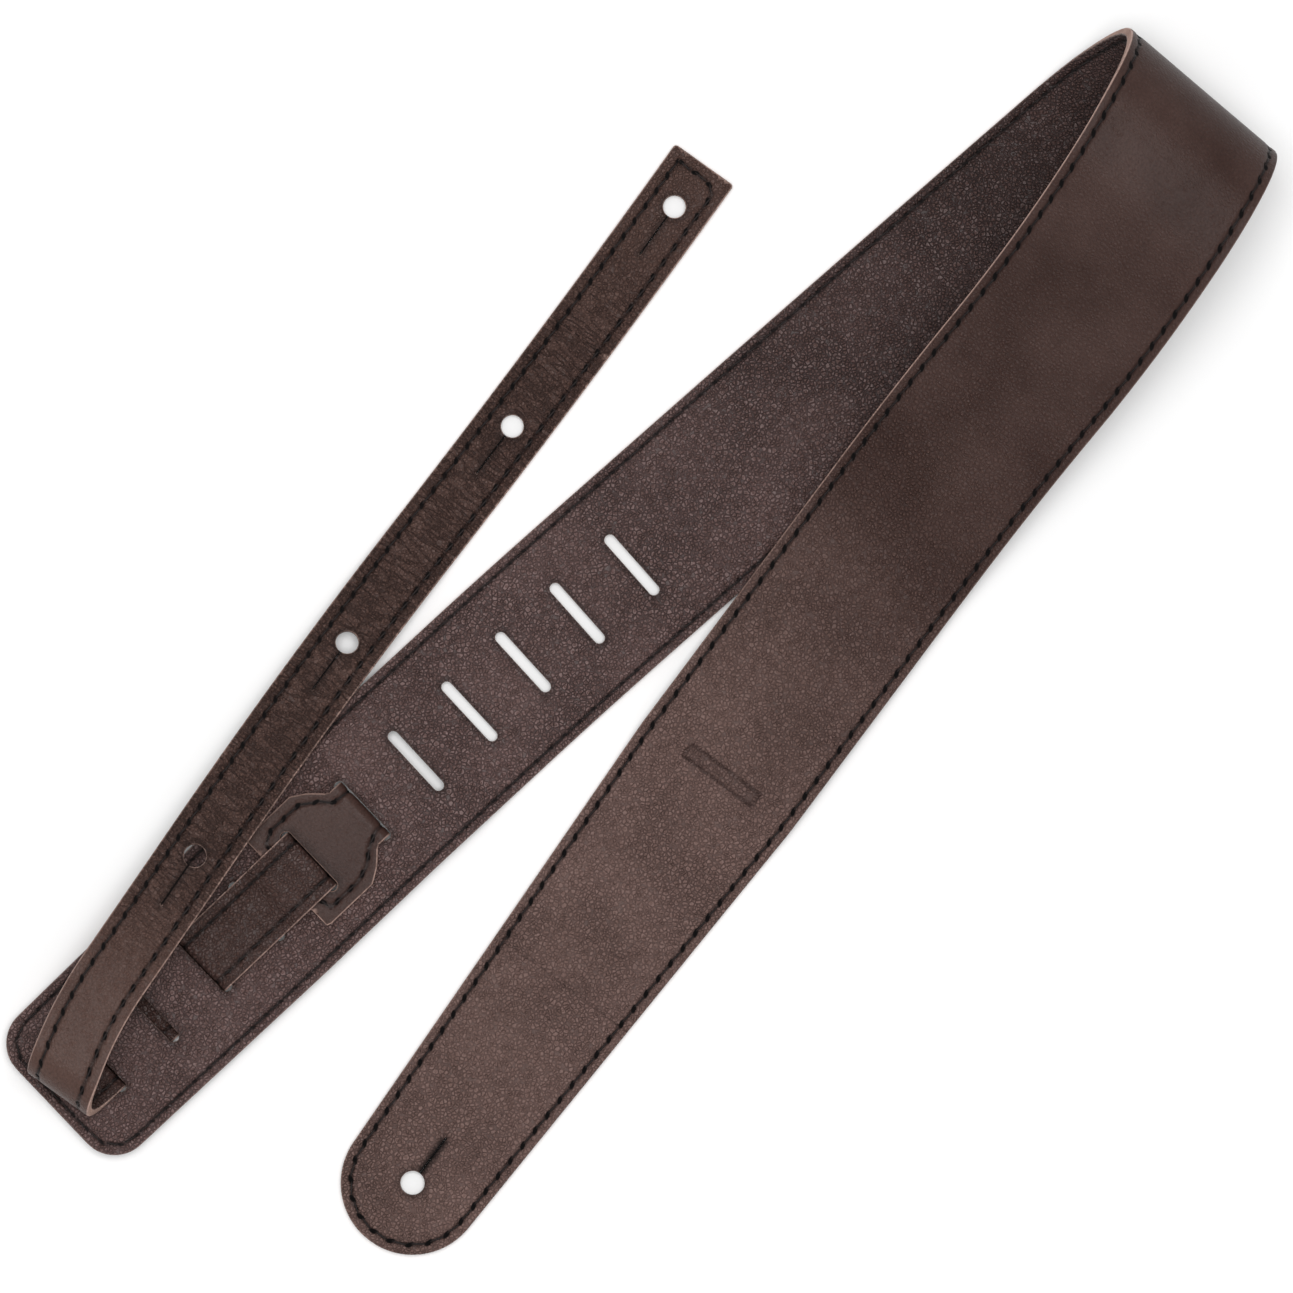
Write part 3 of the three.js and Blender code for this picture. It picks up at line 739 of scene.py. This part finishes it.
def stitches(name, key, strap, start, end, out, top, seed):
    """The single stitches of one seam between two distances, as one mesh of looped threads."""
    line = SEAMS[key]
    rng = np.random.default_rng(seed)
    rings, around = 9, 8
    vertices, faces = [], []
    t = np.linspace(0, 1, rings)
    angle = np.linspace(0, 2 * math.pi, around, endpoint=False)
    slants = rng.uniform(0.75, 1.25, len(line))
    for i in range(len(line) - 1):
        a, b = line[i], line[i + 1]
        middle = (a[0] + b[0]) / 2
        if not start <= middle < end:
            continue
        way = (b - a) / np.linalg.norm(b - a)
        square = np.array([-way[1], way[0]])
        slant = THREAD["slant"] * slants[i] * out
        centre = a + (b - a) * t[:, None] + square * ((t - 0.5) * -2 * slant)[:, None]
        arch = 1 - np.abs(2 * t - 1) ** 3
        height = top - VALLEY["depth"] - THREAD["dive"] + (THREAD["dive"] + THREAD["lift"]) * arch
        radius = THREAD["radius"] * (0.55 + 0.45 * np.minimum(1, arch * 1.6))
        ring = np.array([np.concatenate([square * math.cos(x), [math.sin(x)]]) for x in angle])
        s = centre[:, None, 0] + ring[None, :, 0] * radius[:, None]
        v = centre[:, None, 1] + ring[None, :, 1] * radius[:, None]
        h = height[:, None] + ring[None, :, 2] * radius[:, None] * 0.8
        at = sum(len(x) for x in vertices)
        vertices.append(strap.place(s.ravel(), v.ravel(), out * h.ravel()))
        for r in range(rings - 1):
            for k in range(around):
                p, q = at + r * around + k, at + r * around + (k + 1) % around
                quad = (p, q, q + around, p + around)
                faces.append(quad if out > 0 else quad[::-1])
        first = tuple(range(at, at + around))
        last = tuple(range(at + (rings - 1) * around, at + rings * around))
        faces += [first[::-1], last] if out > 0 else [first, last[::-1]]
    mesh = bpy.data.meshes.new(name)
    mesh.from_pydata((np.concatenate(vertices) * MM).tolist(), [], faces)
    mesh.polygons.foreach_set("use_smooth", np.ones(len(faces), dtype=bool))
    mesh.materials.append(MATERIALS["thread"][0])
    mesh.update()
    return linked(name, mesh)


# ---- Materials ----


class Nodes:
    """A short way to write a node tree."""

    def __init__(self, name):
        self.material = bpy.data.materials.new(name)
        self.material.use_nodes = True
        self.tree = self.material.node_tree
        self.tree.nodes.clear()

    def add(self, kind, inputs=None, **settings):
        """A node with its settings, and its inputs' values or the sockets that feed them."""
        node = self.tree.nodes.new(kind)
        for key, value in settings.items():
            setattr(node, key, value)
        for key, value in (inputs or {}).items():
            socket = node.inputs[key]
            if isinstance(value, bpy.types.NodeSocket):
                self.tree.links.new(value, socket)
            else:
                socket.default_value = value
        return node

    def math(self, operation, a, b=0.0, clamp=False):
        node = self.add("ShaderNodeMath", {0: a, 1: b}, operation=operation, use_clamp=clamp)
        return node.outputs[0]

    def ramp(self, value, low, high, start=0.0, end=1.0):
        """Start before low and end after high, with a soft change between them."""
        inputs = {"Value": value, "From Min": low, "From Max": high, "To Min": start, "To Max": end}
        node = self.add("ShaderNodeMapRange", inputs, interpolation_type="SMOOTHSTEP")
        return node.outputs["Result"]

    def mix(self, factor, a, b):
        return self.add("ShaderNodeMix", {0: factor, 6: a, 7: b}, data_type="RGBA").outputs[2]

    def attribute(self, name):
        return self.add("ShaderNodeAttribute", attribute_name=name).outputs["Fac"]

    def noise(self, vector, scale, detail=3.0, roughness=0.55):
        inputs = {"Vector": vector, "Scale": scale, "Detail": detail, "Roughness": roughness}
        return self.add("ShaderNodeTexNoise", inputs).outputs["Fac"]

    def cells(self, vector, scale, feature, more=()):
        inputs = {"Vector": vector, "Scale": scale, **dict(more)}
        return self.add("ShaderNodeTexVoronoi", inputs, feature=feature).outputs["Distance"]

    def scaled(self, vector, x, y):
        return self.add("ShaderNodeMapping", {"Vector": vector, "Scale": (x, y, 1)}).outputs["Vector"]


def colour(r, g, b):
    """An sRGB colour of 0 to 255 as the shader's linear one."""
    def linear(c):
        c /= 255
        return c / 12.92 if c <= 0.04045 else ((c + 0.055) / 1.055) ** 2.4
    return (linear(r), linear(g), linear(b), 1.0)


def leather_material(name, dark, light, pore_and_shade, grain, grains, tones_and_shade, wrinkle, rough, gloss, blob):
    """Grained leather. grain is one grain's size, in millimetres.

    grains and the tone ramp are two (distance along the strap in metres, strength) each; the tone ramp is
    the leather's own tone and, on the band, also painted shade towards the fold.
    wrinkle is where creases begin, end and how strong they are, and blob is a needle hole's length, width
    and the darkness of its painted shade.
    """
    # The pore colour darkens the grain's pores, and also paints shade in the seam, round holes and in
    # creases.
    dark, light, pore_and_shade = (colour(*rgb) for rgb in (dark, light, pore_and_shade))
    n = Nodes(name)
    flat = n.add("ShaderNodeUVMap", uv_map="flat").outputs["UV"]
    along = n.add("ShaderNodeSeparateXYZ", {"Vector": flat}).outputs["X"]
    drift = n.add("ShaderNodeTexNoise", {"Vector": flat, "Scale": 420.0, "Detail": 2.0}).outputs["Color"]
    grained = {0: drift, 1: (0.0011, 0.0011, 0), 2: flat}
    grained = n.add("ShaderNodeVectorMath", grained, operation="MULTIPLY_ADD").outputs["Vector"]
    pebble = n.cells(grained, 1000 / grain, "SMOOTH_F1", {"Smoothness": 0.3})
    crack = n.cells(grained, 1000 / grain, "DISTANCE_TO_EDGE")
    fine = n.noise(flat, 1500 / grain, 3, 0.65)
    (low_at, low), (high_at, high) = grains
    amount = n.ramp(along, low_at, high_at, low, high)
    amount = n.math("MULTIPLY", amount, n.ramp(n.noise(flat, 30, 3), 0.3, 0.7, 0.8, 1.15))
    groove = n.ramp(crack, 0.0, 0.2, 1.0, 0.0)
    crown = n.ramp(pebble, 0.42, 0.05, 0.0, 1.0)
    # The tone ramp along the strap: the leather's own tone, and on the band also painted shade, darker
    # towards the fold.
    (tone_low, tone_from), (tone_high, tone_to) = tones_and_shade
    tone_and_shade = n.math("ADD", n.ramp(n.noise(flat, 26, 4), 0.25, 0.75, -0.1, 0.1),
                  n.ramp(along, tone_low, tone_high, tone_from, tone_to), clamp=True)
    base = n.mix(tone_and_shade, dark, light)
    base = n.mix(n.math("MULTIPLY", n.ramp(fine, 0.4, 0.7), 0.35), base, pore_and_shade)
    base = n.mix(n.math("MULTIPLY", crown, n.math("MULTIPLY", amount, 0.26)), base, colour(140, 112, 104))
    base = n.mix(n.math("MULTIPLY", groove, n.math("MULTIPLY", amount, 0.5)), base, pore_and_shade)
    # Painted glints: pale flecks on the grain where light catches it.
    painted_glint = n.ramp(n.noise(flat, 1100, 2, 0.5), 0.66, 0.78)
    base = n.mix(n.math("MULTIPLY", painted_glint, n.math("MULTIPLY", amount, 0.4)), base, colour(150, 130, 124))
    # The needle holes: dark slanted ovals along the seam, painted shade where the thread goes down, joined
    # to the near-black painted shade of the slits.
    stitch, seam = n.attribute("stitch"), n.attribute("seam")
    slide = n.math("SUBTRACT", n.math("FRACT", n.math("ADD", stitch, 0.5)), 0.5)
    slide = n.math("SUBTRACT", n.math("MULTIPLY", slide, 6.7), n.math("MULTIPLY", seam, 0.8))
    slide = n.math("DIVIDE", slide, blob[0])
    hole = n.math("ADD", n.math("POWER", n.math("ABSOLUTE", slide), 2.0),
                  n.math("POWER", n.math("DIVIDE", n.math("ABSOLUTE", seam), blob[1]), 2.0))
    hole = n.math("MAXIMUM", n.ramp(hole, 0.5, 1.4, blob[2], 0.0), n.attribute("slit"))
    # Painted shade along the sunken seam.
    seam_shade = n.ramp(n.math("ABSOLUTE", seam), 0.2, 1.3, 0.7, 0.0)
    base = n.mix(seam_shade, base, pore_and_shade)
    # Painted shade: the leather darkens round holes and in the pressed mark.
    base = n.mix(n.math("MULTIPLY", n.attribute("cut"), 0.55), base, pore_and_shade)
    raw = n.math("MULTIPLY", n.attribute("raw"), n.ramp(n.noise(flat, 500, 3), 0.25, 0.55, 0.45, 0.95))
    base = n.mix(raw, base, colour(178, 148, 137))
    # Painted shade: near-black in the needle holes and on the slits.
    base = n.mix(hole, base, colour(7, 5, 5))
    height = n.math("MULTIPLY", n.math("SUBTRACT", crown, n.math("MULTIPLY", groove, 0.5)), amount)
    height = n.math("ADD", height, n.math("MULTIPLY", fine, 0.4))
    if wrinkle:
        start, end, strength = wrinkle
        lines = n.noise(n.scaled(flat, 1.0, 0.3), 330, 3, 0.6)
        zone = n.math("MULTIPLY", n.ramp(along, *start), n.ramp(along, end[0], end[1], 1.0, 0.0))
        crease = n.ramp(n.math("ABSOLUTE", n.math("SUBTRACT", lines, 0.5)), 0.0, 0.07, 1.0, 0.0)
        crease = n.math("MULTIPLY", crease, n.math("MULTIPLY", zone, strength))
        height = n.math("SUBTRACT", height, crease)
        # Painted shade in the creases.
        base = n.mix(n.math("MULTIPLY", crease, 0.4), base, pore_and_shade)
    bump = n.add("ShaderNodeBump", {"Strength": 1.0, "Distance": 0.0006, "Height": height})
    roughness = n.math("ADD", n.math("MULTIPLY", fine, 0.14), rough)
    roughness = n.math("ADD", roughness, n.math("MULTIPLY", hole, 0.5), clamp=True)
    inputs = {"Base Color": base, "Roughness": roughness, "Normal": bump.outputs["Normal"]}
    shader = n.add("ShaderNodeBsdfPrincipled", {**inputs, "Specular IOR Level": gloss})
    n.add("ShaderNodeOutputMaterial", {"Surface": shader.outputs["BSDF"]})
    return n.material


def edge_material(name):
    """The cut side of the leather: a pale fibrous core, stained dark in places, with painted shade on the
    walls of holes and slits.
    """
    n = Nodes(name)
    flat = n.add("ShaderNodeUVMap", uv_map="flat").outputs["UV"]
    fibre = n.noise(n.scaled(flat, 1.0, 4.0), 900, 4, 0.65)
    stain = n.ramp(n.noise(flat, 130, 3), 0.35, 0.7)
    base = n.mix(fibre, colour(112, 86, 77), colour(196, 165, 152))
    base = n.mix(n.math("MULTIPLY", stain, 0.35), base, colour(92, 68, 60))
    # Painted shade on the walls round holes, and near-black painted shade in the slits.
    base = n.mix(n.math("MULTIPLY", n.attribute("cut"), 0.85), base, colour(40, 27, 24))
    base = n.mix(n.attribute("slit"), base, colour(7, 5, 5))
    bump = n.add("ShaderNodeBump", {"Strength": 0.6, "Distance": 0.0002, "Height": fibre})
    shader = n.add("ShaderNodeBsdfPrincipled", {"Base Color": base, "Normal": bump.outputs["Normal"]})
    shader.inputs["Roughness"].default_value = 0.85
    shader.inputs["Specular IOR Level"].default_value = 0.2
    n.add("ShaderNodeOutputMaterial", {"Surface": shader.outputs["BSDF"]})
    return n.material


def thread_material(name):
    """Waxed thread of fine twisted strands."""
    n = Nodes(name)
    place = n.add("ShaderNodeTexCoord").outputs["Object"]
    strand = n.noise(place, 2600, 2)
    base = n.mix(n.ramp(strand, 0.35, 0.7), colour(12, 8, 8), colour(34, 24, 22))
    bump = n.add("ShaderNodeBump", {"Strength": 0.5, "Distance": 0.0001, "Height": strand})
    shader = n.add("ShaderNodeBsdfPrincipled", {"Base Color": base, "Normal": bump.outputs["Normal"]})
    shader.inputs["Roughness"].default_value = 0.6
    shader.inputs["Specular IOR Level"].default_value = 0.25
    n.add("ShaderNodeOutputMaterial", {"Surface": shader.outputs["BSDF"]})
    return n.material


LEATHERS = {
    "band_outer": {
        "dark": (47, 27, 21), "light": (116, 92, 86), "pore_and_shade": (26, 14, 12), "grain": 1.4,
        # Darker near the fold: partly the smoother, browner leather there and partly painted shade on its
        # slope.
        "grains": ((0.62, 0.12), (0.82, 1.0)), "tones_and_shade": ((0.7, 0.1), (0.88, 0.9)),
        "wrinkle": None, "rough": 0.38, "gloss": 0.18, "blob": (1.4, 1.0, 1.0),
    },
    "band_lining": {
        "dark": (54, 35, 32), "light": (114, 89, 86), "pore_and_shade": (20, 11, 10), "grain": 1.4,
        # Darker towards the fold: painted shade under the raised front run.
        "grains": ((0.0, 1.2), (0.5, 1.4)), "tones_and_shade": ((0.22, 0.75), (0.48, 0.2)),
        "wrinkle": None, "rough": 0.34, "gloss": 0.3, "blob": (0.95, 0.65, 0.8),
    },
    "tail_outer": {
        "dark": (50, 30, 25), "light": (98, 74, 66), "pore_and_shade": (24, 13, 11), "grain": 1.35,
        "grains": ((0.28, 0.9), (0.4, 0.1)), "tones_and_shade": ((0.4, 0.55), (0.56, 0.15)),
        "wrinkle": ((0.02, 0.08), (0.3, 0.36), 1.0), "rough": 0.36, "gloss": 0.2, "blob": (1.25, 0.95, 1.0),
    },
    "tail_lining": {
        "dark": (48, 29, 25), "light": (84, 60, 54), "pore_and_shade": (22, 12, 10), "grain": 1.4,
        "grains": ((0.0, 0.8), (0.5, 0.9)), "tones_and_shade": ((0.0, 0.5), (0.5, 0.4)),
        "wrinkle": None, "rough": 0.34, "gloss": 0.3, "blob": (0.9, 0.65, 0.8),
    },
}
EDGE = edge_material("raw_edge")
MATERIALS = {kind: [leather_material(f"{kind}_leather", **look), EDGE] for kind, look in LEATHERS.items()}
MATERIALS["thread"] = [thread_material("waxed_thread")]

# ---- The plain mark pressed into the band ----


def pressed_mark(points):
    """A plain bar with a raised middle, lying across the band."""
    s = np.abs(points[:, 0] - MARK["s"]) - MARK["width"] / 2
    v = np.abs(points[:, 1] - MARK["v"]) - MARK["length"] / 2
    outside = np.hypot(np.maximum(s, 0), np.maximum(v, 0)) + np.minimum(np.maximum(s, v), 0)
    return MARK["depth"] * (smooth(0.3, -0.5, outside) - 0.6 * smooth(-1.0, -1.8, outside))


# ---- Pieces ----

mid_band = (easy_to + tight_to) / 2
mid_tail = (bend_from + bend_to) / 2
tab_from = BAND_HINGES[2] - 8
tip_to = TAIL_HINGES[0] + 8
# Each part's name, start, end, own ends, CAD nodes, and its bend: two bodies, hinge, and how far it reaches.
BAND_PARTS = [
    ("back", 0.0, mid_band, (True, False), ("band_back", "band_rise"),
     ("band_back", "band_fold", BAND_HINGES[0], (-24, 24))),
    ("front", mid_band, tab_from, (False, False), ("band_fold", "band_slope", "band_front"),
     ("band_fold", "band_front", BAND_HINGES[1], (-24, 24))),
    ("tab", tab_from, band.length, (False, True), ("band_tab",),
     ("band_front", "band_tab", BAND_HINGES[2], (-5, 27))),
]
TAIL_PARTS = [
    ("tip", 0.0, tip_to, (True, False), ("tail_tip",),
     ("tail_free", "tail_tip", TAIL_HINGES[0], (5, -27))),
    ("free", tip_to, mid_tail, (False, False), ("tail_free", "tail_bend"),
     ("tail_free", "tail_bend", TAIL_HINGES[1], (-8.6, 8.6))),
    ("lock", mid_tail, head_end, (False, True), ("tail_lock",),
     ("tail_bend", "band_back", TAIL_HINGES[2], (-8.6, 8.6))),
]


def blend_line(strap, a, b, at, reach):
    """Where a bend between two bodies begins and ends, square to their joint's axis."""
    start, end = [strap.place(at + d, 0, 0) * MM for d in reach]
    axis = next(np.array(j["axis"]) for j in frame["joints"] if {j["parent"], j["child"]} == {a, b})
    return Vector(start), Vector(end - axis * (axis @ (end - start)))


def nodes_of(groups, suffix):
    """The CAD's nodes whose names begin with one of the groups and have the suffix."""
    return [n for n in frame["nodes"] if n.startswith(groups) and suffix in n]


def build(prefix, strap, half, holes, parts, fine):
    """Every part of one strap: an outer piece and a lining, each with its stitches."""
    sizes = strap.sizes
    top = sizes["thick"] / 2
    interface = top - sizes["outer"] - GAP / 2
    plies = (("outer", 1, interface + PLY_GAP / 2, "needle", 0),
             ("lining", -1, PLY_GAP / 2 - interface, "bobbin", 3))
    for index, (part, start, end, ends, nodes, (a, b, at, reach)) in enumerate(parts):
        line = blend_line(strap, a, b, at, reach)
        area = float(np.mean(2 * half(np.linspace(start, end, 400)))) * (end - start) * MM * MM
        for kind, out, low, thread_kind, seed in plies:
            piece = leather(f"{prefix}_{kind}_{part}", prefix, strap, f"{prefix}_{kind}", start, end, half,
                            holes, ends, fine, low, top, out, seed, (prefix, part, kind) == MARKED)
            thread = stitches(f"{prefix}_{kind}_stitches_{part}", prefix, strap, start, end, out, top,
                              50 + index)
            for made, suffix, slot in ((piece, f"_{kind}", f"{kind}_leather"),
                                       (thread, thread_kind, "thread")):
                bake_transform(made)
                owned = nodes_of(nodes, suffix)
                if owned:
                    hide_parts(*owned)


build("band", band, band_half, BAND_HOLES, BAND_PARTS, BAND_FINE)
build("tail", tail, tail_half, TAIL_HOLES, TAIL_PARTS, TAIL_FINE)

# ---- Floor, light and camera ----

floor_mesh = bpy.data.meshes.new("floor")
floor_mesh.from_pydata([(-3, -3, 0), (3, -3, 0), (3, 3, 0), (-3, 3, 0)], [], [(0, 1, 2, 3)])
floor = linked("floor", floor_mesh)
floor_nodes = Nodes("pale_floor")
floor_look = {"Base Color": (0.9, 0.9, 0.9, 1), "Roughness": 0.9}
floor_shader = floor_nodes.add("ShaderNodeBsdfPrincipled", floor_look)
floor_nodes.add("ShaderNodeOutputMaterial", {"Surface": floor_shader.outputs["BSDF"]})
floor_mesh.materials.append(floor_nodes.material)

world = bpy.data.worlds.new("studio")
bpy.context.scene.world = world
world.use_nodes = True
world.node_tree.nodes["Background"].inputs["Color"].default_value = (1, 1, 1, 1)
world.node_tree.nodes["Background"].inputs["Strength"].default_value = 0.5


def area_light(name, location, size, radiance):
    """A rectangular soft light that faces the strap."""
    data = bpy.data.lights.new(name, "AREA")
    data.shape = "RECTANGLE"
    data.size, data.size_y = size
    data.energy = radiance * math.pi * size[0] * size[1]
    light = linked(name, data)
    light.location = location
    light.rotation_euler = (-Vector(location)).to_track_quat("-Z", "Y").to_euler()


area_light("overhead", (0.15, 0.1, 2.8), (1.7, 1.7), 6.6)
area_light("fold_side", (1.9, 0.2, 0.75), (1.2, 0.5), 1.2)
area_light("slotted_side", (-1.9, -0.2, 0.75), (1.2, 0.5), 1.6)

# seen is the picture's width at the floor, and over is its middle in the routes' own frame.
CAMERA = {"height": 2.5, "seen": 0.4505, "roll": -42.4, "over": (0.2384, -0.0246)}
SENSOR = 36
camera_data = bpy.data.cameras.new("camera")
camera_data.sensor_width = SENSOR
camera_data.lens = SENSOR / CAMERA["seen"] * CAMERA["height"]
camera_data.clip_end = 20
camera = linked("camera", camera_data)
middle = offset[:2] * MM + np.array(CAMERA["over"])
camera.location = (middle[0], middle[1], CAMERA["height"])
camera.rotation_euler = (0, 0, math.radians(CAMERA["roll"]))
bpy.context.scene.camera = camera
bpy.context.scene.view_settings.view_transform = "Standard"
